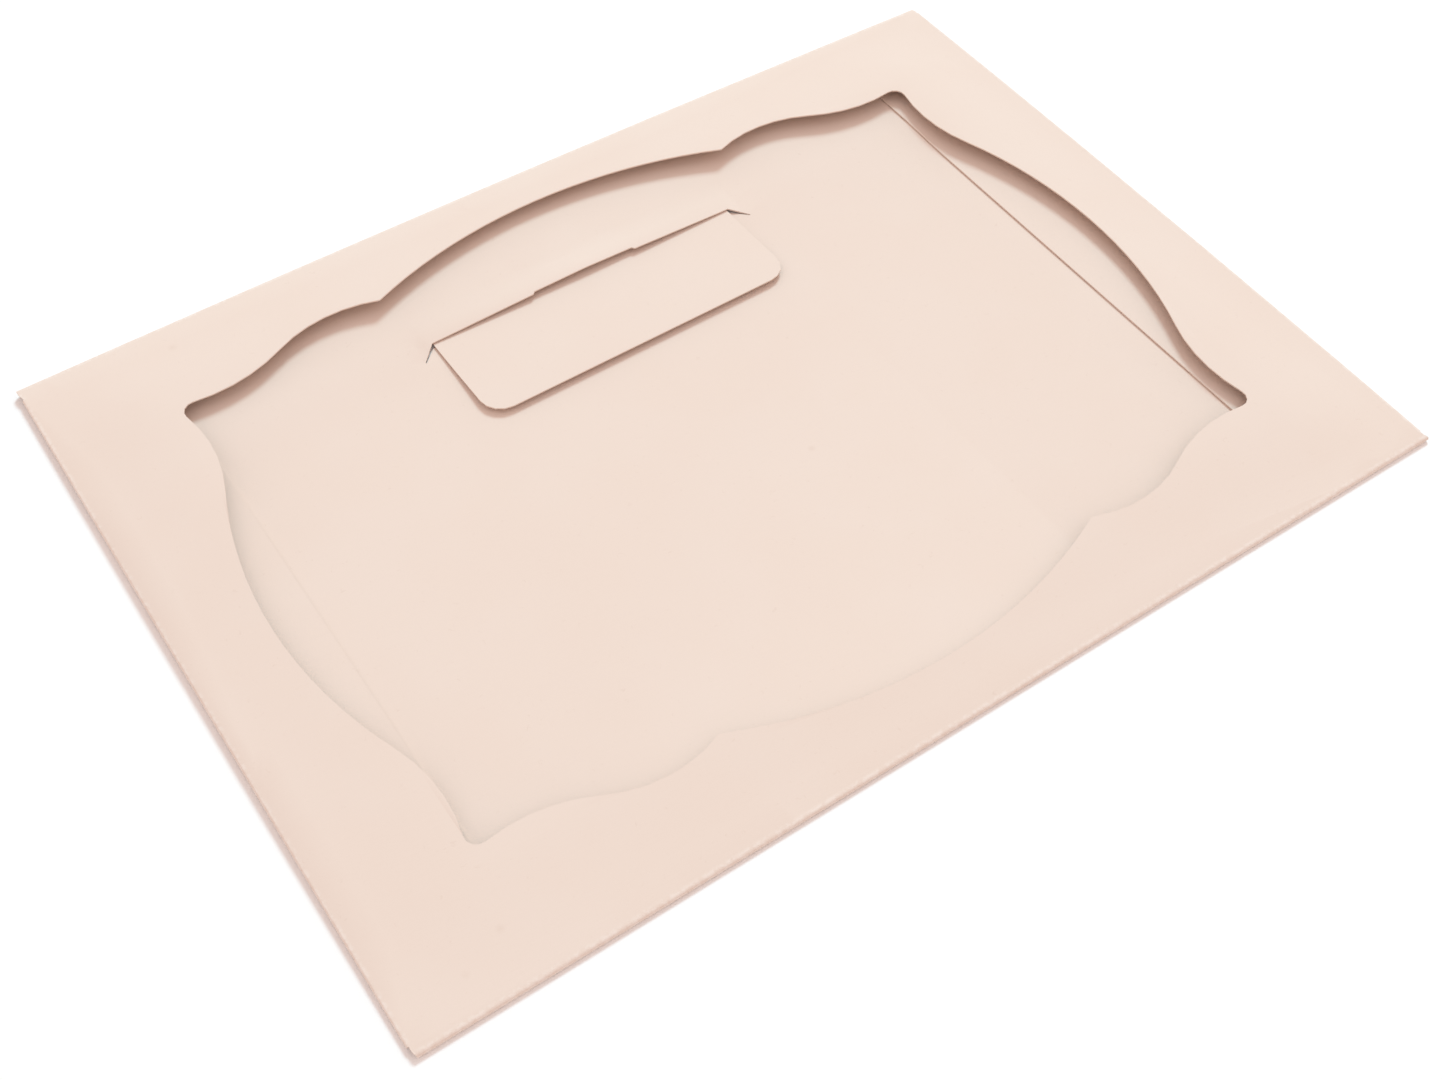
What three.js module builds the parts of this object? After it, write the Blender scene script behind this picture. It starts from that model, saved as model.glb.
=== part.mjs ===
// Photo folder. One sheet of card is cut, creased and folded into a flat sleeve with a
// scalloped window in front.
// Units are millimetres and +Z is up. The folder lies on its back panel, window upward.
// The origin is under the middle of the front panel, on the surface the folder lies on.
// X runs to the right along the long side, Y runs from the front crease to the back crease.
//
// The flat sheet is described first, in its own coordinates u and v. In the front panel u is
// the distance from the left crease and v is the distance from the front crease. Beyond each
// crease the sheet goes on as a flap: the back panel at the front, the locking flap with its
// tongue at the back, and a narrow flap at each side. The flat sheet is then folded by a
// formula that gives the middle of the card for every u and v.
import * as THREE from 'three';

// Card
const cardThickness = 0.3;
const layerClearance = 0.15;

// Front panel, crease to crease
const panelLength = 221.2;
const panelDepth = 160.8;

// Window. It has two long and two short sides and a small round ear in every corner.
const windowHalfLength = 94.9;
const windowHalfDepth = 69.8;
const windowShiftRight = 0.4;
const windowShiftBack = 0.65;
const longArcRadius = 102.6;
const cuspFromMiddle = 41.8;
const lobeFromMiddle = 52;
const lobeRadius = 26.5;
const lobeEndDegrees = 27.9;
const longHollowRadius = 31.8;
const shortArcRadius = 89.1;
const shortArcEndDegrees = 22;
const shortHollowRadius = 32.9;
const earRadius = 2.3;

// Side flaps, folded inward right behind the front panel
const leftFlapDepth = 24.7;
const rightFlapDepth = 26;
const sideFlapEndInset = 1.4;
const creaseEndInset = 0.5;
const sideFlapTaper = 7;
const sideFlapCornerRadius = 2;

// Back panel, folded from the front crease under the side flaps
const backPanelSideInset = 0.6;
const backPanelEdgeGap = 1.4;
const backPanelCornerRadius = 4;

// Slit in the back panel, with a slanting nick at each end and a wider middle stretch
const slitFromFront = 127.9;
const slitCentreFromLeft = 109.2;
const slitGap = 0.5;
const slitNickReach = 3.2;
const slitNickGap = 0.28;
const slitMiddleLength = 23.5;
const slitMiddleExtra = 0.55;

// Locking flap, folded from the back crease behind the back panel, and its tongue
const tongueWidth = 71.4;
const tongueSideClearance = 0.3;
const tongueReach = 22.9;
const tongueSkew = 0.8;
const tongueCornerRadius = 4.8;
const tongueRootRadius = 2;
const lockFlapShoulder = 4.5;
const lockFlapTaper = 15;
const lockFlapCornerRadius = 6;

// Pointed tips of the sheet that stand out at two corners. The front right one lies between
// two shares of the front crease's bend.
const backLeftTipReach = 0.5;
const backLeftTipLength = 2.6;
const frontRightTipReach = 0.4;
const frontRightTipStart = 0.3;
const frontRightTipEnd = 0.8;

// Creases. The allowance is the length of card used by the bend, the bulge is how far the
// middle of the card stands outside the crease line.
const frontCreaseAllowance = 1.6;
const frontCreaseBulge = 0.5;
const backCreaseAllowance = 2.6;
const backCreaseBulge = 0.6;
const sideCreaseAllowance = 1;
const sideCreaseBulge = 0.25;
const creaseSteps = 6;

// How far the sprung card stands above its flattest position. Toward the front left corner
// the rise at the window settles by a share.
const frontCreaseRise = -0.12;
const backCreaseRise = 1.2;
const leftCreaseRise = 0.5;
const rightCreaseRise = 0.9;
const windowEdgeRise = 1.6;
const windowEdgeRiseWidth = 22;
const frontLeftSettling = 0.7;
const slitLipRise = 0.52;
const slitMiddleRise = 1.15;
const tongueTipRise = 0.9;

// Lengths over which a layer climbs from one level to the next
const backPanelClimbStart = 10.5;
const backPanelClimbEnd = 2.5;
const lipClimbStart = 9.5;
const lipClimbEnd = 1.3;

// Longest chord on the round stretches, and the spacing of the lines that split the sheet
const chordLength = 4.5;
const fewestArcSteps = 4;
const edgeLineSpacing = 5.5;
const middleLineSpacing = 45;

const layerPitch = cardThickness + layerClearance;
const restLevel = cardThickness / 2;
const backPanelReach = panelDepth - backPanelEdgeGap;
const slitHalf = tongueWidth / 2 + tongueSideClearance;
const nickTip = slitHalf + slitNickReach;
const lockFlapReach = panelDepth - slitFromFront - lockFlapShoulder;
const tongueEnd = panelDepth - slitFromFront + tongueReach;

const radians = (degrees) => degrees * Math.PI / 180;

function smooth(value, from, to) {
  const t = Math.min(1, Math.max(0, (value - from) / (to - from)));
  return t * t * (3 - 2 * t);
}

// Height of a bow over a length, one in the middle and zero at both ends.
function bow(value, length) {
  const t = value / length;
  return 4 * t * (1 - t);
}

// Points along an arc, without its first point. A positive sweep turns anticlockwise.
function arcPoints(centre, radius, startAngle, endAngle, anticlockwise) {
  const turn = 2 * Math.PI;
  let sweep = (endAngle - startAngle) % turn;
  if (anticlockwise && sweep < 0) {
    sweep += turn;
  }
  if (!anticlockwise && sweep > 0) {
    sweep -= turn;
  }
  const wanted = Math.ceil(Math.abs(sweep) * radius / chordLength);
  const steps = Math.max(fewestArcSteps, wanted);
  const points = [];
  for (let i = 1; i <= steps; i += 1) {
    const angle = startAngle + sweep * i / steps;
    const x = centre.x + radius * Math.cos(angle);
    const y = centre.y + radius * Math.sin(angle);
    points.push(new THREE.Vector2(x, y));
  }
  return points;
}

function angleTo(from, to) {
  return Math.atan2(to.y - from.y, to.x - from.x);
}

// The point that lies at two given distances from two centres, on the side of the origin.
function pointAtDistances(first, firstDistance, second, secondDistance) {
  const apart = first.distanceTo(second);
  const along = (firstDistance ** 2 - secondDistance ** 2 + apart ** 2) / (2 * apart);
  const aside = Math.sqrt(firstDistance ** 2 - along ** 2);
  const direction = second.clone().sub(first).divideScalar(apart);
  const sideways = new THREE.Vector2(direction.y, -direction.x);
  const foot = first.clone().addScaledVector(direction, along);
  const one = foot.clone().addScaledVector(sideways, aside);
  const other = foot.clone().addScaledVector(sideways, -aside);
  return one.length() < other.length() ? one : other;
}

// One quarter of the window, from the middle of the long side to the middle of the short side.
function windowQuarter() {
  const longCentre = new THREE.Vector2(0, windowHalfDepth - longArcRadius);
  const cuspHeight = longCentre.y + Math.sqrt(longArcRadius ** 2 - cuspFromMiddle ** 2);
  const cusp = new THREE.Vector2(cuspFromMiddle, cuspHeight);
  const lobeDrop = Math.sqrt(lobeRadius ** 2 - (lobeFromMiddle - cuspFromMiddle) ** 2);
  const lobeCentre = new THREE.Vector2(lobeFromMiddle, cuspHeight - lobeDrop);
  const lobeEnd = radians(90 - lobeEndDegrees);
  const longReach = lobeRadius + longHollowRadius;
  const longHollow = new THREE.Vector2(Math.cos(lobeEnd), Math.sin(lobeEnd));
  longHollow.multiplyScalar(longReach).add(lobeCentre);

  const shortCentre = new THREE.Vector2(windowHalfLength - shortArcRadius, 0);
  const shortEnd = radians(shortArcEndDegrees);
  const shortReach = shortArcRadius + shortHollowRadius;
  const shortHollow = new THREE.Vector2(Math.cos(shortEnd), Math.sin(shortEnd));
  shortHollow.multiplyScalar(shortReach).add(shortCentre);

  const ear = pointAtDistances(
    longHollow,
    longHollowRadius + earRadius,
    shortHollow,
    shortHollowRadius + earRadius,
  );
  const quarterTurn = radians(90);
  return [
    new THREE.Vector2(0, windowHalfDepth),
    ...arcPoints(longCentre, longArcRadius, quarterTurn, angleTo(longCentre, cusp), false),
    ...arcPoints(lobeCentre, lobeRadius, angleTo(lobeCentre, cusp), lobeEnd, false),
    ...arcPoints(
      longHollow,
      longHollowRadius,
      angleTo(longHollow, lobeCentre),
      angleTo(longHollow, ear),
      true,
    ),
    ...arcPoints(ear, earRadius, angleTo(ear, longHollow), angleTo(ear, shortHollow), false),
    ...arcPoints(
      shortHollow,
      shortHollowRadius,
      angleTo(shortHollow, ear),
      angleTo(shortHollow, shortCentre),
      true,
    ),
    ...arcPoints(shortCentre, shortArcRadius, shortEnd, 0, false),
  ];
}

// The whole window. The other three quarters are mirror images of the first.
function windowOutline() {
  const quarter = windowQuarter();
  const backwards = [...quarter].reverse();
  const mirrored = (points, signX, signY) =>
    points.slice(1).map((p) => new THREE.Vector2(p.x * signX, p.y * signY));
  const loop = [
    ...mirrored(quarter, 1, 1),
    ...mirrored(backwards, 1, -1),
    ...mirrored(quarter, -1, -1),
    ...mirrored(backwards, -1, 1),
  ];
  const centreX = panelLength / 2 + windowShiftRight;
  const centreY = panelDepth / 2 + windowShiftBack;
  return loop.map((p) => new THREE.Vector2(p.x + centreX, p.y + centreY));
}

// The slit with its nicks, in the flat sheet. The upper lip is the one nearer the free edge.
function slitOutline() {
  const lower = slitFromFront - slitGap / 2;
  const upper = slitFromFront + slitGap / 2;
  const nickStep = slitNickGap * Math.SQRT1_2;
  const upperEnd = nickTip + nickStep - (upper - (lower - slitNickReach + nickStep));
  const half = [
    [slitHalf, lower],
    [nickTip, lower - slitNickReach],
    [nickTip + nickStep, lower - slitNickReach + nickStep],
    [upperEnd, upper],
    [slitMiddleLength / 2 + slitMiddleExtra, upper],
    [slitMiddleLength / 2, upper + slitMiddleExtra],
  ];
  const right = half;
  const left = [...half].reverse().map(([x, y]) => [-x, y]);
  const toSheet = ([x, y]) =>
    new THREE.Vector2(slitCentreFromLeft + x, -(frontCreaseAllowance + y));
  return [...right, ...left].map(toSheet);
}

// A closed outline through corners given as [u, v, fillet radius].
function filletedOutline(corners) {
  const points = [];
  corners.forEach(([u, v, radius], i) => {
    const corner = new THREE.Vector2(u, v);
    if (!radius) {
      points.push(corner);
      return;
    }
    const [beforeU, beforeV] = corners[(i + corners.length - 1) % corners.length];
    const [afterU, afterV] = corners[(i + 1) % corners.length];
    const before = new THREE.Vector2(beforeU, beforeV).sub(corner).normalize();
    const after = new THREE.Vector2(afterU, afterV).sub(corner).normalize();
    const halfAngle = Math.acos(before.dot(after)) / 2;
    const tangent = radius / Math.tan(halfAngle);
    const middle = before.clone().add(after).normalize();
    const centre = middle.multiplyScalar(radius / Math.sin(halfAngle)).add(corner);
    const start = before.multiplyScalar(tangent).add(corner);
    const end = after.multiplyScalar(tangent).add(corner);
    const anticlockwise = start.clone().sub(corner).cross(end.clone().sub(corner)) < 0;
    points.push(start);
    points.push(
      ...arcPoints(centre, radius, angleTo(centre, start), angleTo(centre, end), anticlockwise),
    );
  });
  return points;
}

// The flat sheet, anticlockwise from the left end of the back panel's free edge.
function sheetOutline() {
  const right = panelLength;
  const back = panelDepth;
  const freeEdge = -(frontCreaseAllowance + backPanelReach);
  const leftEdge = -(sideCreaseAllowance + leftFlapDepth);
  const rightEdge = right + sideCreaseAllowance + rightFlapDepth;
  const flapStart = sideFlapEndInset;
  const flapEnd = back - sideFlapEndInset;
  const leftFlapEnd = back - backLeftTipLength;
  const lockRoot = back + backCreaseAllowance;
  const shoulder = lockRoot + lockFlapReach;
  const tip = lockRoot + tongueEnd;
  const tongueLeft = slitCentreFromLeft - tongueWidth / 2;
  const tongueRight = slitCentreFromLeft + tongueWidth / 2;
  const inset = backPanelSideInset;
  const crease = frontCreaseAllowance;
  const tipReach = right + frontRightTipReach;
  const backTipTop = back + backCreaseAllowance / 4;
  const backTipFoot = back - backLeftTipLength / 4;
  return filletedOutline([
    [inset, freeEdge, backPanelCornerRadius],
    [right - inset, freeEdge, backPanelCornerRadius],
    [right - inset, -2 * crease, 0],
    [tipReach, -crease * frontRightTipEnd, 0],
    [tipReach, -crease * frontRightTipStart, 0],
    [right, creaseEndInset, 0],
    [right, flapStart, 0],
    [rightEdge, flapStart + sideFlapTaper, sideFlapCornerRadius],
    [rightEdge, flapEnd - sideFlapTaper, sideFlapCornerRadius],
    [right, flapEnd, 0],
    [right, back - creaseEndInset, 0],
    [right - inset, back + backCreaseAllowance / 2, 0],
    [right - 2 * inset, lockRoot, 0],
    [right - lockFlapTaper, shoulder, lockFlapCornerRadius],
    [tongueRight, shoulder, tongueRootRadius],
    [tongueRight, tip, tongueCornerRadius],
    [tongueLeft, tip + tongueSkew, tongueCornerRadius],
    [tongueLeft, shoulder, tongueRootRadius],
    [lockFlapTaper, shoulder, lockFlapCornerRadius],
    [2 * inset, lockRoot, 0],
    [-backLeftTipReach, backTipTop, 0],
    [-backLeftTipReach, backTipFoot, 0],
    [0, leftFlapEnd, 0],
    [leftEdge, leftFlapEnd - sideFlapTaper, sideFlapCornerRadius],
    [leftEdge, flapStart + sideFlapTaper, sideFlapCornerRadius],
    [0, flapStart, 0],
    [0, creaseEndInset, 0],
    [inset / 2, -crease / 2, 0],
    [inset, -crease, 0],
  ]);
}

// How strongly a place across the sheet belongs to the slit and the tongue.
function slitShare(x) {
  const aside = Math.abs(x - slitCentreFromLeft);
  return 1 - smooth(aside, slitHalf - tongueSideClearance / 2, nickTip);
}

// Climb of the layers toward the slit, from the side of the back crease.
function lipClimb(y) {
  return 1 - smooth(y, slitFromFront + lipClimbEnd, slitFromFront + lipClimbStart);
}

// Climb of the back panel onto the locking flap that lies under it.
function backPanelClimb(y) {
  return smooth(y, slitFromFront - backPanelClimbStart, slitFromFront + backPanelClimbEnd);
}

function isAboveCut(x, y) {
  const beyond = Math.max(0, Math.abs(x - slitCentreFromLeft) - slitHalf);
  return y > slitFromFront - beyond;
}

function backPanelLevel(x, y) {
  const climbed = layerPitch * backPanelClimb(y);
  const share = slitShare(x);
  if (!isAboveCut(x, y)) {
    return restLevel + climbed * (1 - share);
  }
  const aside = Math.abs(x - slitCentreFromLeft);
  const middleShare = 1 - smooth(aside, 0, slitHalf);
  const lift = slitLipRise * share + slitMiddleRise * middleShare;
  return restLevel + climbed + lift * lipClimb(y);
}

function sideFlapLevel(y) {
  return restLevel + layerPitch * (1 + backPanelClimb(y));
}

function lockFlapLevel(x, y) {
  const climbed = layerPitch * lipClimb(y) * slitShare(x);
  const tipShare = smooth(slitFromFront - y, 0, tongueReach);
  return restLevel + climbed + tongueTipRise * tipShare;
}

// Height of the front panel. Its four creases set the height of the rim, and between the
// crease and the window the panel springs up further.
function frontPanelLevel(x, y) {
  const across = x / panelLength;
  const along = y / panelDepth;
  const frontCorner = restLevel + 2 * layerPitch;
  const backCorner = restLevel + 3 * layerPitch;
  const plain = frontCorner + (backCorner - frontCorner) * along;
  const frontBow = frontCreaseRise * bow(x, panelLength) * (1 - along);
  const backBow = backCreaseRise * bow(x, panelLength) * along;
  const leftBow = leftCreaseRise * bow(y, panelDepth) * (1 - across);
  const rightBow = rightCreaseRise * bow(y, panelDepth) * across;
  const inward = (distance) => smooth(distance, 0, windowEdgeRiseWidth);
  const spring = inward(x) * inward(panelLength - x) * inward(y) * inward(panelDepth - y);
  const settled = 1 - frontLeftSettling * (1 - across) * (1 - along);
  const bows = frontBow + backBow + leftBow + rightBow;
  return plain + bows + windowEdgeRise * spring * settled;
}

// A bend of half a turn. It starts level at one height and comes back level at another. The
// travelled share of the bend gives how far the card stands out and how high it is.
function bend(share, bulge, upper, lower) {
  const angle = Math.PI * share;
  const out = bulge * Math.sin(angle);
  const level = (upper + lower) / 2 + (upper - lower) / 2 * Math.cos(angle);
  return { out, level };
}

function foldedFront(u, v) {
  const beyond = -v;
  if (beyond >= frontCreaseAllowance) {
    const y = beyond - frontCreaseAllowance;
    return new THREE.Vector3(u, y, backPanelLevel(u, y));
  }
  const share = beyond / frontCreaseAllowance;
  const upper = frontPanelLevel(u, 0);
  const { out, level } = bend(share, frontCreaseBulge, upper, backPanelLevel(u, 0));
  return new THREE.Vector3(u, -out, level);
}

function foldedBack(u, v) {
  const beyond = v - panelDepth;
  if (beyond >= backCreaseAllowance) {
    const y = panelDepth - (beyond - backCreaseAllowance);
    return new THREE.Vector3(u, y, lockFlapLevel(u, y));
  }
  const share = beyond / backCreaseAllowance;
  const upper = frontPanelLevel(u, panelDepth);
  const { out, level } = bend(share, backCreaseBulge, upper, lockFlapLevel(u, panelDepth));
  return new THREE.Vector3(u, panelDepth + out, level);
}

// A side flap. The side is -1 for the left one and 1 for the right one.
function foldedSide(u, v, side) {
  const crease = side < 0 ? 0 : panelLength;
  const beyond = (u - crease) * side;
  const lower = sideFlapLevel(v);
  if (beyond >= sideCreaseAllowance) {
    const x = crease - side * (beyond - sideCreaseAllowance);
    return new THREE.Vector3(x, v, lower);
  }
  const share = beyond / sideCreaseAllowance;
  const { out, level } = bend(share, sideCreaseBulge, frontPanelLevel(crease, v), lower);
  return new THREE.Vector3(crease + side * out, v, level);
}

// The middle of the folded card for a place in the flat sheet.
function folded(u, v) {
  if (v < 0) {
    return foldedFront(u, v);
  }
  if (v > panelDepth) {
    return foldedBack(u, v);
  }
  if (u < 0 && v < panelDepth - backLeftTipLength) {
    return foldedSide(u, v, -1);
  }
  if (u > panelLength && v > sideFlapEndInset) {
    return foldedSide(u, v, 1);
  }
  return new THREE.Vector3(u, v, frontPanelLevel(u, v));
}

// A face of the card: half its thickness away from the middle, square to the sheet.
function cardPoint(u, v, offset) {
  const step = 0.01;
  const alongU = folded(u + step, v).sub(folded(u - step, v));
  const alongV = folded(u, v + step).sub(folded(u, v - step));
  const square = alongU.cross(alongV).normalize();
  return folded(u, v).addScaledVector(square, offset);
}

// Splits the convex faces of a flat mesh along a line where one coordinate has a given value.
function splitAlong(mesh, axis, value) {
  const near = 0.06;
  const made = new Map();
  const sideOf = (i) => {
    const distance = mesh.points[i].getComponent(axis) - value;
    return Math.abs(distance) < near ? 0 : Math.sign(distance);
  };
  const crossing = (i, j) => {
    const first = Math.min(i, j);
    const second = Math.max(i, j);
    const key = `${first}_${second}`;
    if (!made.has(key)) {
      const a = mesh.points[first];
      const b = mesh.points[second];
      const share = (value - a.getComponent(axis)) / (b.getComponent(axis) - a.getComponent(axis));
      made.set(key, mesh.points.length);
      mesh.points.push(a.clone().lerp(b, share));
    }
    return made.get(key);
  };
  const faces = [];
  for (const face of mesh.faces) {
    const sides = face.map(sideOf);
    if (!(sides.includes(1) && sides.includes(-1))) {
      faces.push(face);
      continue;
    }
    const low = [];
    const high = [];
    face.forEach((point, i) => {
      const next = (i + 1) % face.length;
      if (sides[i] <= 0) {
        low.push(point);
      }
      if (sides[i] >= 0) {
        high.push(point);
      }
      if (sides[i] * sides[next] < 0) {
        const middle = crossing(point, face[next]);
        low.push(middle);
        high.push(middle);
      }
    });
    faces.push(low, high);
  }
  mesh.faces = faces;
}

// Values from one end to the other, close together near both ends.
function lineValues(length) {
  const values = [];
  for (let near = 0; near <= windowEdgeRiseWidth; near += edgeLineSpacing) {
    values.push(near, length - near);
  }
  const inner = length - 2 * windowEdgeRiseWidth;
  const parts = Math.ceil(inner / middleLineSpacing);
  for (let i = 0; i <= parts; i += 1) {
    values.push(windowEdgeRiseWidth + inner * i / parts);
  }
  return values;
}

function splitLines() {
  const steps = Array.from({ length: creaseSteps }, (_, i) => (i + 1) / creaseSteps);
  const across = [...lineValues(panelLength)];
  const along = [...lineValues(panelDepth)];
  for (const share of steps) {
    across.push(-sideCreaseAllowance * share);
    across.push(panelLength + sideCreaseAllowance * share);
    along.push(-frontCreaseAllowance * share);
    along.push(panelDepth + backCreaseAllowance * share);
  }
  const shareStart = slitHalf - tongueSideClearance / 2;
  const shareMiddle = (shareStart + nickTip) / 2;
  for (const aside of [shareStart, shareMiddle, nickTip]) {
    across.push(slitCentreFromLeft - aside, slitCentreFromLeft + aside);
  }
  for (const aside of [0, slitMiddleLength / 2]) {
    across.push(slitCentreFromLeft - aside, slitCentreFromLeft + aside);
  }
  const climbs = [0, 0.33, 0.67, 1];
  const tongueLift = [0.4, 0.75];
  for (const share of climbs) {
    const lip = slitFromFront + lipClimbEnd + (lipClimbStart - lipClimbEnd) * share;
    const total = backPanelClimbStart + backPanelClimbEnd;
    const panel = slitFromFront - backPanelClimbStart + total * share;
    along.push(-(frontCreaseAllowance + lip));
    along.push(-(frontCreaseAllowance + panel));
    along.push(panel);
    along.push(panelDepth + backCreaseAllowance + panelDepth - lip);
  }
  for (const share of tongueLift) {
    const y = slitFromFront - tongueReach * share;
    along.push(panelDepth + backCreaseAllowance + panelDepth - y);
  }
  return { across, along };
}

// The flat sheet as convex faces, split along every line the folding needs.
function flatMesh() {
  const outline = sheetOutline();
  const holes = [windowOutline(), slitOutline()];
  const triangles = THREE.ShapeUtils.triangulateShape(outline, holes);
  const points = [...outline, ...holes.flat()];
  const mesh = { points, faces: [] };
  for (const [a, b, c] of triangles) {
    const first = points[b].clone().sub(points[a]);
    const second = points[c].clone().sub(points[a]);
    mesh.faces.push(first.cross(second) > 0 ? [a, b, c] : [a, c, b]);
  }
  const { across, along } = splitLines();
  across.forEach((value) => splitAlong(mesh, 0, value));
  along.forEach((value) => splitAlong(mesh, 1, value));
  return mesh;
}

// The folded card as one closed solid: an upper face, a lower face and the cut edge between.
function foldedCard() {
  const { points, faces } = flatMesh();
  const count = points.length;
  const positions = new Float32Array(count * 6);
  points.forEach((point, i) => {
    cardPoint(point.x, point.y, cardThickness / 2).toArray(positions, 3 * i);
    cardPoint(point.x, point.y, -cardThickness / 2).toArray(positions, 3 * (i + count));
  });
  const index = [];
  const edges = new Set();
  for (const face of faces) {
    face.forEach((point, i) => {
      edges.add(`${point}_${face[(i + 1) % face.length]}`);
    });
    for (let i = 2; i < face.length; i += 1) {
      const [a, b, c] = [face[0], face[i - 1], face[i]];
      index.push(a, b, c);
      index.push(a + count, c + count, b + count);
    }
  }
  for (const edge of edges) {
    const [a, b] = edge.split('_').map(Number);
    if (!edges.has(`${b}_${a}`)) {
      index.push(a + count, b + count, b);
      index.push(a + count, b, a);
    }
  }
  const geometry = new THREE.BufferGeometry();
  geometry.setAttribute('position', new THREE.BufferAttribute(positions, 3));
  geometry.setIndex(index);
  geometry.translate(-panelLength / 2, -panelDepth / 2, 0);
  geometry.computeVertexNormals();
  return geometry;
}

const card = new THREE.MeshStandardMaterial({
  color: 0xf0ded2,
  roughness: 0.85,
  metalness: 0,
});

const folder = new THREE.Group();
folder.name = 'photo_folder';
const sheet = new THREE.Mesh(foldedCard(), card);
sheet.name = 'folded_card';
folder.add(sheet);

export default folder;
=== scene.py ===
"""Photo folder of pale card: the folded sheet with its card finish, on a white studio floor."""
import math

import bmesh
import bpy
from mathutils import Matrix, Vector


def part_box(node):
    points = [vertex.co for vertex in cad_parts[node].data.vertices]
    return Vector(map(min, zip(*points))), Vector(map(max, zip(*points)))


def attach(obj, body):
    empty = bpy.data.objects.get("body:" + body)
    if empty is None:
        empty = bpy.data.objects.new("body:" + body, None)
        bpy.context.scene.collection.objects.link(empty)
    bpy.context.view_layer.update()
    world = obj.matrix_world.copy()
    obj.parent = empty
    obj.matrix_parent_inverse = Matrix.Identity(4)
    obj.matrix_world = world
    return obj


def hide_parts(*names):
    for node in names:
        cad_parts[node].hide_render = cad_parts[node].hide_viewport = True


bl_info = {
    "name": "Photo folder",
    "version": (1, 0, 0),
    "blender": (4, 5, 0),
    "location": "3D View > Sidebar > Photo folder",
    "description": "Finishes the folded photo folder and sets up its studio",
    "category": "Object",
}

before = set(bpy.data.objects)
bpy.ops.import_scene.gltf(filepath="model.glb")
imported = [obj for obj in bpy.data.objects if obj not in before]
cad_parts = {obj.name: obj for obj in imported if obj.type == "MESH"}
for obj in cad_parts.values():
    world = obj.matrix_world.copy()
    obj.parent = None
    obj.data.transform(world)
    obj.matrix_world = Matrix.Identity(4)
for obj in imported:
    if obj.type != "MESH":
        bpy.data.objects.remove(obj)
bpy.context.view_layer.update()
CARD_NODE = "folded_card"
CARD_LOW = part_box(CARD_NODE)[0]

# Faces that meet at less than this angle are shaded as one smooth surface.
SHARP_EDGE = math.radians(38)
# Corners of triangles closer than this, in metres, become one.
MERGE_DISTANCE = 2e-7

# Distance of the creases from the middle of the panel, in metres.
CREASE_X = 0.1106
CREASE_Y = 0.0804


def rgb(text):
    """Linear colour of a six-digit sRGB hex value, by the sRGB transfer curve."""
    values = [int(text[i:i + 2], 16) / 255 for i in (0, 2, 4)]
    return tuple(v / 12.92 if v <= 0.04045 else ((v + 0.055) / 1.055) ** 2.4 for v in values)


class CardSettings(bpy.types.PropertyGroup):
    """Sizes and colours of the card's finish."""

    colour: bpy.props.FloatVectorProperty(
        name="Card colour",
        description="Colour of the card's face",
        subtype="COLOR",
        size=3,
        min=0,
        max=1,
        default=rgb("E9D7CB"),
    )
    # Lighter colour on the creases: partly wear of opened fibres, partly painted highlight of
    # the rounded folds.
    crease_wear_and_highlight_colour: bpy.props.FloatVectorProperty(
        name="Crease colour",
        description="Colour of the opened fibres and painted highlight along the creases",
        subtype="COLOR",
        size=3,
        min=0,
        max=1,
        default=rgb("F0E3DA"),
    )
    fleck_colour: bpy.props.FloatVectorProperty(
        name="Fleck colour",
        description="Colour of the small darker fibres and marks",
        subtype="COLOR",
        size=3,
        min=0,
        max=1,
        default=rgb("D2B9A9"),
    )
    roughness: bpy.props.FloatProperty(
        name="Roughness",
        description="Mean roughness of the card",
        subtype="FACTOR",
        min=0,
        max=1,
        default=0.82,
    )
    fibre_length: bpy.props.FloatProperty(
        name="Fibre length",
        description="Length of the paper fibres",
        subtype="DISTANCE",
        unit="LENGTH",
        min=0.0001,
        max=0.01,
        default=0.0009,
    )
    relief: bpy.props.FloatProperty(
        name="Relief",
        description="Height of the felt-like relief of the card",
        subtype="DISTANCE",
        unit="LENGTH",
        min=0,
        max=0.001,
        default=0.00002,
    )


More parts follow.
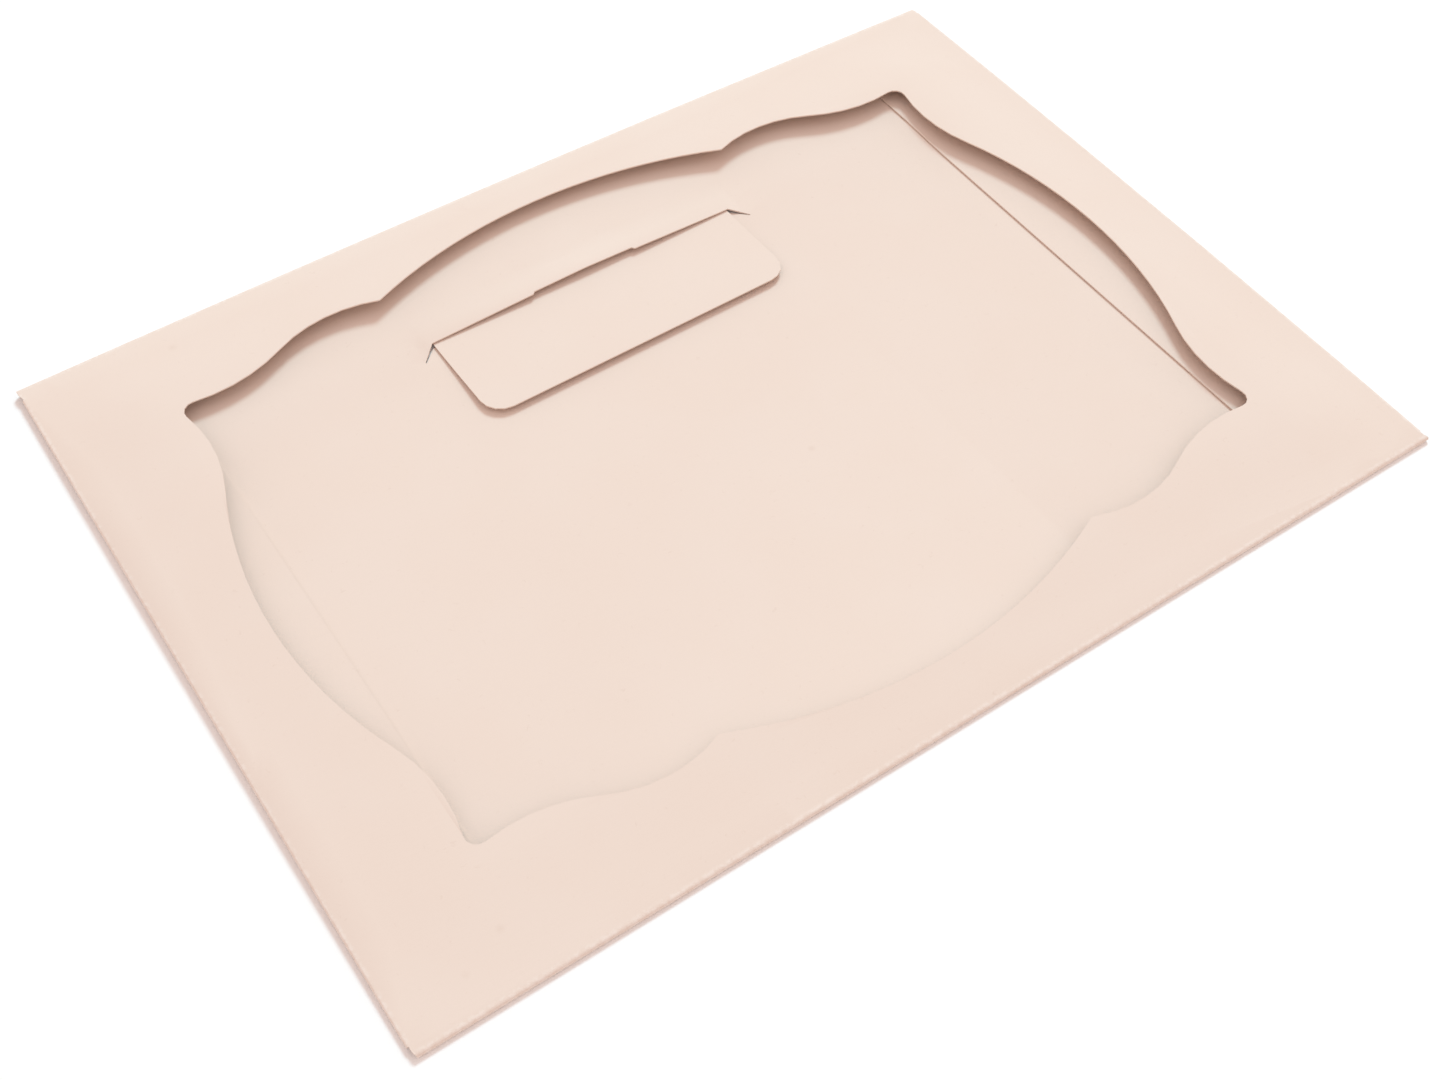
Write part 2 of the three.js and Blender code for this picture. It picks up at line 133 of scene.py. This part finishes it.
class StageSettings(bpy.types.PropertyGroup):
    """Floor, light and camera."""

    floor_colour: bpy.props.FloatVectorProperty(
        name="Floor colour",
        description="Colour of the floor",
        subtype="COLOR",
        size=3,
        min=0,
        max=1,
        default=(0.96, 0.96, 0.96),
    )
    floor_size: bpy.props.FloatProperty(
        name="Floor size",
        description="Side of the square floor",
        subtype="DISTANCE",
        unit="LENGTH",
        min=1,
        max=50,
        default=30.0,
    )
    key_power: bpy.props.FloatProperty(
        name="Key light",
        description="Power of the main light, in watts",
        min=0,
        default=97.0,
    )
    key_elevation: bpy.props.FloatProperty(
        name="Key elevation",
        description="Height of the main light above the horizon",
        subtype="ANGLE",
        unit="ROTATION",
        default=math.radians(44),
    )
    key_azimuth: bpy.props.FloatProperty(
        name="Key azimuth",
        description="Direction of the main light, from +X towards +Y",
        subtype="ANGLE",
        unit="ROTATION",
        default=math.radians(45),
    )
    key_distance: bpy.props.FloatProperty(
        name="Key distance",
        description="Distance of the main light from the folder",
        subtype="DISTANCE",
        unit="LENGTH",
        min=0.3,
        default=4.0,
    )
    key_size: bpy.props.FloatProperty(
        name="Key size",
        description="Width of the round main light, which sets how soft the shadows are",
        subtype="DISTANCE",
        unit="LENGTH",
        min=0.01,
        default=1.2,
    )
    fill: bpy.props.FloatProperty(
        name="Fill",
        description="Brightness of the even light from all round",
        min=0,
        default=0.85,
    )
    key_colour: bpy.props.FloatVectorProperty(
        name="Key colour",
        description="Colour of the main light",
        subtype="COLOR",
        size=3,
        min=0,
        max=1,
        default=(0.58, 0.9, 1.0),
    )
    fill_colour: bpy.props.FloatVectorProperty(
        name="Fill colour",
        description="Colour of the even light, as warm as light that the card throws back",
        subtype="COLOR",
        size=3,
        min=0,
        max=1,
        default=(1.0, 0.84, 0.79),
    )
    focal_length: bpy.props.FloatProperty(
        name="Focal length",
        description="Focal length of the camera on a 36 mm wide picture",
        subtype="DISTANCE_CAMERA",
        min=10,
        max=200,
        default=44.6,
    )
    camera_place: bpy.props.FloatVectorProperty(
        name="Camera place",
        description="Place of the camera",
        subtype="TRANSLATION",
        unit="LENGTH",
        size=3,
        default=(-0.1328, -0.1895, 0.2617),
    )
    camera_forward: bpy.props.FloatVectorProperty(
        name="Camera direction",
        description="Direction in which the camera looks",
        subtype="XYZ",
        size=3,
        default=(0.35177, 0.49852, -0.79230),
    )
    camera_up: bpy.props.FloatVectorProperty(
        name="Camera up",
        description="Direction that is up in the picture",
        subtype="XYZ",
        size=3,
        default=(0.44036, 0.65876, 0.61001),
    )


class NodeTree:
    """Short ways to add and join shader nodes."""

    def __init__(self, tree):
        self.tree = tree

    def add(self, kind, **values):
        """Adds a node. Keywords set its properties."""
        node = self.tree.nodes.new(kind)
        for key, value in values.items():
            setattr(node, key, value)
        return node

    def put(self, socket, value):
        """Joins an output to a socket, or sets the socket's value."""
        if isinstance(value, bpy.types.NodeSocket):
            self.tree.links.new(value, socket)
        elif value is not None:
            socket.default_value = value

    def math(self, operation, first, second=None, clamp=False):
        """One Math node and its result."""
        node = self.add("ShaderNodeMath", operation=operation, use_clamp=clamp)
        for socket, value in zip(node.inputs, (first, second)):
            self.put(socket, value)
        return node.outputs[0]

    def mix(self, share, first, second):
        """Mixes two colours by a share."""
        node = self.add("ShaderNodeMix", data_type="RGBA")
        self.put(node.inputs[0], share)
        for socket, value in ((node.inputs[6], first), (node.inputs[7], second)):
            if isinstance(value, (tuple, list)):
                value = tuple(value)[:3] + (1.0,)
            self.put(socket, value)
        return node.outputs[2]

    def steps(self, value, low, high, to_low=0.0, to_high=1.0):
        """Maps a value smoothly from one range to another."""
        node = self.add("ShaderNodeMapRange", interpolation_type="SMOOTHSTEP")
        for socket, entry in zip(node.inputs, (value, low, high, to_low, to_high)):
            self.put(socket, entry)
        return node.outputs[0]

    def noise(self, vector, scale, detail=2.0, rough=0.5, distortion=0.0):
        """The value of a noise whose scale is in waves per metre."""
        node = self.add("ShaderNodeTexNoise")
        self.put(node.inputs["Vector"], vector)
        values = {
            "Scale": scale,
            "Detail": detail,
            "Roughness": rough,
            "Distortion": distortion,
        }
        for name, value in values.items():
            self.put(node.inputs[name], value)
        return node.outputs["Fac"]

    def stretched(self, vector, turn, stretch):
        """Coordinates turned about Z and stretched along X, for fibres in one direction."""
        node = self.add("ShaderNodeMapping")
        self.put(node.inputs["Vector"], vector)
        node.inputs["Rotation"].default_value = (0, 0, turn)
        node.inputs["Scale"].default_value = (1 / stretch, 1, 1)
        return node.outputs[0]


def group_tree(name, number, results):
    """A node group that takes a vector and a number and gives some numbers."""
    tree = bpy.data.node_groups.new(name, "ShaderNodeTree")
    tree.interface.new_socket("Vector", in_out="INPUT", socket_type="NodeSocketVector")
    tree.interface.new_socket(number, in_out="INPUT", socket_type="NodeSocketFloat")
    for result in results:
        tree.interface.new_socket(result, in_out="OUTPUT", socket_type="NodeSocketFloat")
    return tree


# Threads: directions in radians, length over width, bend, and how narrow their ridges are.
FIBRE_TURNS = (0.35, 1.45, 2.5)
FIBRE_STRETCH = 7.0
FIBRE_BEND = 0.4
RIDGE_SHARPNESS = 7.0

# Fine grain: how much finer it is than the threads, and the shares of both in the relief.
GRAIN_FINENESS = 3.1
THREAD_SHARE = 0.6
GRAIN_SHARE = 0.4

# Flecks: how much coarser than the threads, their bend, and the noise where they start and
# are full.
FLECK_FINENESS = 0.9
FLECK_BEND = 1.2
FLECK_START = 0.66
FLECK_FULL = 0.78

CLOUDS_PER_METRE = 32.0


def fibre_group():
    """Paper fibres: ridged noise stretched in three directions, and soft cloudy blotches.

    A ridge is one minus the ridge sharpness times the distance of the noise from its middle
    value, so thin crossing threads stand out. The outputs are the felt height, the fleck mask
    and the cloud value.
    """
    tree = group_tree("Paper fibres", "Scale", ("Felt", "Flecks", "Cloud"))
    n = NodeTree(tree)
    source = n.add("NodeGroupInput")
    target = n.add("NodeGroupOutput")
    vector = source.outputs["Vector"]
    scale = source.outputs["Scale"]
    felt = None
    for turn in FIBRE_TURNS:
        turned = n.stretched(vector, turn, FIBRE_STRETCH)
        value = n.noise(turned, scale, 2.0, 0.55, FIBRE_BEND)
        away = n.math("ABSOLUTE", n.math("SUBTRACT", value, 0.5))
        away = n.math("MULTIPLY", away, RIDGE_SHARPNESS)
        ridge = n.math("SUBTRACT", 1.0, away, clamp=True)
        felt = ridge if felt is None else n.math("ADD", felt, ridge)
    felt = n.math("MULTIPLY", felt, 1 / len(FIBRE_TURNS))
    fine = n.noise(vector, n.math("MULTIPLY", scale, GRAIN_FINENESS), 3.0, 0.6)
    threads = n.math("MULTIPLY", felt, THREAD_SHARE)
    height = n.math("ADD", threads, n.math("MULTIPLY", fine, GRAIN_SHARE))
    coarse = n.math("MULTIPLY", scale, FLECK_FINENESS)
    spots = n.noise(vector, coarse, 2.0, 0.5, FLECK_BEND)
    cloud = n.noise(vector, CLOUDS_PER_METRE, 3.0, 0.55)
    n.put(target.inputs["Felt"], height)
    n.put(target.inputs["Flecks"], n.steps(spots, FLECK_START, FLECK_FULL))
    n.put(target.inputs["Cloud"], cloud)
    return tree


# Lighter strip on the creases, partly wear of opened fibres and partly painted highlight of the
# rounded folds:
# width of the strip in metres, the noise that breaks it up, and the values of that noise where
# the strip starts and is full.
CREASE_WIDTH = 0.0007
BREAKS_PER_METRE = 900.0
WEAR_AND_HIGHLIGHT_START = 0.4
WEAR_AND_HIGHLIGHT_FULL = 0.62


def crease_wear_and_highlight_group():
    """Lighter strip on the creases, partly wear and partly painted highlight: most on a crease,
    falling to nothing over a width, and broken up.

    The distance is the smaller of the distances to the two pairs of crease lines.
    """
    tree = group_tree("Crease wear and highlight", "Width", ("Wear",))
    n = NodeTree(tree)
    source = n.add("NodeGroupInput")
    target = n.add("NodeGroupOutput")
    parts = n.add("ShaderNodeSeparateXYZ")
    n.put(parts.inputs[0], source.outputs["Vector"])
    from_side = n.math("SUBTRACT", CREASE_X, n.math("ABSOLUTE", parts.outputs[0]))
    from_end = n.math("SUBTRACT", CREASE_Y, n.math("ABSOLUTE", parts.outputs[1]))
    nearest = n.math("MAXIMUM", n.math("MINIMUM", from_side, from_end), 0.0)
    near = n.steps(nearest, 0.0, source.outputs["Width"], 1.0, 0.0)
    breaks = n.noise(source.outputs["Vector"], BREAKS_PER_METRE, 3.0, 0.6)
    broken = n.steps(breaks, WEAR_AND_HIGHLIGHT_START, WEAR_AND_HIGHLIGHT_FULL)
    n.put(target.inputs["Wear"], n.math("MULTIPLY", near, broken))
    return tree


# Faint marks on the card: place in the frame, and radius, in metres.
MARKS = (
    ((0.0102, -0.0163, 0.0004), 0.0011),
    ((-0.0812, 0.0739, 0.0030), 0.0014),
    ((-0.0979, -0.0738, 0.0020), 0.0013),
    ((-0.0897, -0.0702, 0.0020), 0.0012),
)


def mark_mask(n, vector):
    """Soft round spots at the marks: one less the distance over the radius, the largest."""
    mask = 0.0
    for place, radius in MARKS:
        node = n.add("ShaderNodeVectorMath", operation="DISTANCE")
        n.put(node.inputs[0], vector)
        node.inputs[1].default_value = place
        spot = n.steps(node.outputs["Value"], 0.0, radius, 1.0, 0.0)
        mask = n.math("MAXIMUM", mask, spot)
    return mask


# Factors on the card colour where the clouds are warmest, and the cloud values between which
# they blend.
WARM_FACTORS = (0.996, 0.988, 0.982)
CLOUD_START = 0.35
CLOUD_FULL = 0.65

# How much of the fleck colour and of the crease colour, which is partly painted highlight,
# shows.
FLECK_SHARE = 0.18
MARK_SHARE = 0.22
WEAR_AND_HIGHLIGHT_SHARE = 0.6

# Roughness added by the felt and by the wear, and how high the wear stands over the felt.
FELT_ROUGHNESS = 0.08
WEAR_ROUGHNESS = 0.05
WEAR_HEIGHT = 0.7

CARD_SPECULAR = 0.3
BUMP_STRENGTH = 0.5


def card_material(settings):
    """Matt uncoated card: fibres, clouds, flecks, faint marks, and a lighter strip on the
    creases that is partly opened fibres and partly painted highlight.
    """
    material = bpy.data.materials.new("Card")
    material.use_nodes = True
    tree = material.node_tree
    n = NodeTree(tree)
    shader = tree.nodes["Principled BSDF"]
    place = n.add("ShaderNodeTexCoord").outputs["Object"]

    fibres = n.add("ShaderNodeGroup", node_tree=fibre_group())
    n.put(fibres.inputs["Vector"], place)
    n.put(fibres.inputs["Scale"], 1 / settings.fibre_length)
    crease = n.add("ShaderNodeGroup", node_tree=crease_wear_and_highlight_group())
    n.put(crease.inputs["Vector"], place)
    n.put(crease.inputs["Width"], CREASE_WIDTH)

    base = tuple(settings.colour)
    warm = tuple(part * factor for part, factor in zip(base, WARM_FACTORS))
    cloudy = n.mix(n.steps(fibres.outputs["Cloud"], CLOUD_START, CLOUD_FULL), warm, base)
    flecks = n.math("MULTIPLY", fibres.outputs["Flecks"], FLECK_SHARE)
    flecked = n.mix(flecks, cloudy, tuple(settings.fleck_colour))
    marks = n.math("MULTIPLY", mark_mask(n, place), MARK_SHARE)
    marked = n.mix(marks, flecked, tuple(settings.fleck_colour))
    # Painted highlight and wear: the lighter crease colour is mixed in along the folds.
    wear = n.math("MULTIPLY", crease.outputs["Wear"], WEAR_AND_HIGHLIGHT_SHARE)
    n.put(shader.inputs["Base Color"], n.mix(wear, marked, tuple(settings.crease_wear_and_highlight_colour)))

    felt_rough = n.math("MULTIPLY", fibres.outputs["Felt"], FELT_ROUGHNESS)
    wear_rough = n.math("MULTIPLY", crease.outputs["Wear"], WEAR_ROUGHNESS)
    rough = n.math("ADD", settings.roughness, felt_rough)
    n.put(shader.inputs["Roughness"], n.math("ADD", rough, wear_rough, clamp=True))
    shader.inputs["Specular IOR Level"].default_value = CARD_SPECULAR

    raised = n.math("MULTIPLY", crease.outputs["Wear"], WEAR_HEIGHT)
    height = n.math("ADD", fibres.outputs["Felt"], raised)
    bump = n.add("ShaderNodeBump")
    bump.inputs["Strength"].default_value = BUMP_STRENGTH
    n.put(bump.inputs["Distance"], settings.relief)
    n.put(bump.inputs["Height"], height)
    n.put(shader.inputs["Normal"], bump.outputs["Normal"])
    return material


def smooth_copy(node, name):
    """A copy of a CAD node with its triangles joined.

    Its faces are shaded smooth, and an edge stays sharp where its faces turn by more than
    the sharp angle, as on the cut edge of the card.
    """
    mesh = node.data.copy()
    mesh.name = name
    mesh.materials.clear()
    shell = bmesh.new()
    shell.from_mesh(mesh)
    bmesh.ops.remove_doubles(shell, verts=shell.verts, dist=MERGE_DISTANCE)
    for edge in shell.edges:
        edge.smooth = len(edge.link_faces) == 2 and edge.calc_face_angle(0.0) < SHARP_EDGE
    for face in shell.faces:
        face.smooth = True
    shell.to_mesh(mesh)
    shell.free()
    obj = bpy.data.objects.new(name, mesh)
    bpy.context.scene.collection.objects.link(obj)
    return obj


class FOLDER_OT_card(bpy.types.Operator):
    """Adds the folded sheet of card with its finish"""

    bl_idname = "folder.card"
    bl_label = "Folded card"

    def execute(self, context):
        """Joins the CAD sheet's triangles, shades them and adds the card material."""
        settings = context.scene.folder_card
        sheet = smooth_copy(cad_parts[CARD_NODE], "card_sheet")
        sheet.data.materials.append(card_material(settings))
        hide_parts(CARD_NODE)
        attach(sheet, "root")
        return {"FINISHED"}


# The floor lies this far under the card, in metres, so that their faces never coincide.
FLOOR_DROP = 0.00005
FLOOR_ROUGHNESS = 0.9
FLOOR_SPECULAR = 0.1


def floor_object(settings):
    """A flat square floor under the folder."""
    half = settings.floor_size / 2
    level = CARD_LOW[2] - FLOOR_DROP
    corners = [(x * half, y * half, level) for x, y in ((-1, -1), (1, -1), (1, 1), (-1, 1))]
    mesh = bpy.data.meshes.new("floor")
    mesh.from_pydata(corners, [], [(0, 1, 2, 3)])
    material = bpy.data.materials.new("Floor")
    material.use_nodes = True
    shader = material.node_tree.nodes["Principled BSDF"]
    shader.inputs["Base Color"].default_value = (*settings.floor_colour, 1.0)
    shader.inputs["Roughness"].default_value = FLOOR_ROUGHNESS
    shader.inputs["Specular IOR Level"].default_value = FLOOR_SPECULAR
    mesh.materials.append(material)
    floor = bpy.data.objects.new("floor", mesh)
    bpy.context.scene.collection.objects.link(floor)
    return floor


def aimed(place, target):
    """A matrix that stands at a place and looks at a target along its own -Z."""
    direction = (Vector(target) - Vector(place)).normalized()
    turn = direction.to_track_quat("-Z", "Y").to_matrix().to_4x4()
    return Matrix.Translation(place) @ turn


# Width of the camera's picture in millimetres, and the nearest distance it sees, in metres.
SENSOR_WIDTH = 36
NEAREST_SEEN = 0.01


class FOLDER_OT_stage(bpy.types.Operator):
    """Adds the floor, the light and the camera"""

    bl_idname = "folder.stage"
    bl_label = "Stage"

    def execute(self, context):
        """Places the floor, one soft main light, an even fill and the camera."""
        settings = context.scene.folder_stage
        scene = context.scene
        floor_object(settings)

        lamp = bpy.data.lights.new("key", "AREA")
        lamp.shape = "DISK"
        lamp.size = settings.key_size
        lamp.energy = settings.key_power
        lamp.color = settings.key_colour
        key = bpy.data.objects.new("key", lamp)
        flat = math.cos(settings.key_elevation)
        place = settings.key_distance * Vector((
            flat * math.cos(settings.key_azimuth),
            flat * math.sin(settings.key_azimuth),
            math.sin(settings.key_elevation),
        ))
        key.matrix_world = aimed(place, (0, 0, 0))
        scene.collection.objects.link(key)

        world = bpy.data.worlds.new("studio")
        world.use_nodes = True
        background = world.node_tree.nodes["Background"]
        background.inputs["Color"].default_value = (*settings.fill_colour, 1.0)
        background.inputs["Strength"].default_value = settings.fill
        scene.world = world

        camera = bpy.data.cameras.new("camera")
        camera.sensor_width = SENSOR_WIDTH
        camera.lens = settings.focal_length
        camera.clip_start = NEAREST_SEEN
        view = bpy.data.objects.new("camera", camera)
        forward = Vector(settings.camera_forward).normalized()
        up = Vector(settings.camera_up)
        right = forward.cross(up).normalized()
        up = right.cross(forward)
        turn = Matrix((right, up, -forward)).transposed().to_4x4()
        view.matrix_world = Matrix.Translation(settings.camera_place) @ turn
        scene.collection.objects.link(view)
        scene.camera = view
        scene.view_settings.view_transform = "Standard"
        return {"FINISHED"}


class FOLDER_PT_panel(bpy.types.Panel):
    """Lists the steps that build the folder and its stage"""

    bl_idname = "FOLDER_PT_panel"
    bl_label = "Photo folder"
    bl_space_type = "VIEW_3D"
    bl_region_type = "UI"
    bl_category = "Photo folder"

    def draw(self, context):
        """Draws the settings and one button for each step."""
        layout = self.layout
        for operator, owner in (
            (FOLDER_OT_card, context.scene.folder_card),
            (FOLDER_OT_stage, context.scene.folder_stage),
        ):
            box = layout.box()
            box.operator(operator.bl_idname)
            for name in owner.__annotations__:
                box.prop(owner, name)


CLASSES = (CardSettings, StageSettings, FOLDER_OT_card, FOLDER_OT_stage, FOLDER_PT_panel)


def register():
    """Registers the classes and their settings."""
    for cls in CLASSES:
        bpy.utils.register_class(cls)
    bpy.types.Scene.folder_card = bpy.props.PointerProperty(type=CardSettings)
    bpy.types.Scene.folder_stage = bpy.props.PointerProperty(type=StageSettings)


def unregister():
    """Takes the classes and their settings away."""
    del bpy.types.Scene.folder_stage
    del bpy.types.Scene.folder_card
    for cls in reversed(CLASSES):
        bpy.utils.unregister_class(cls)


def main():
    register()
    bpy.ops.folder.card()
    bpy.ops.folder.stage()


if __name__ == "__main__":
    main()
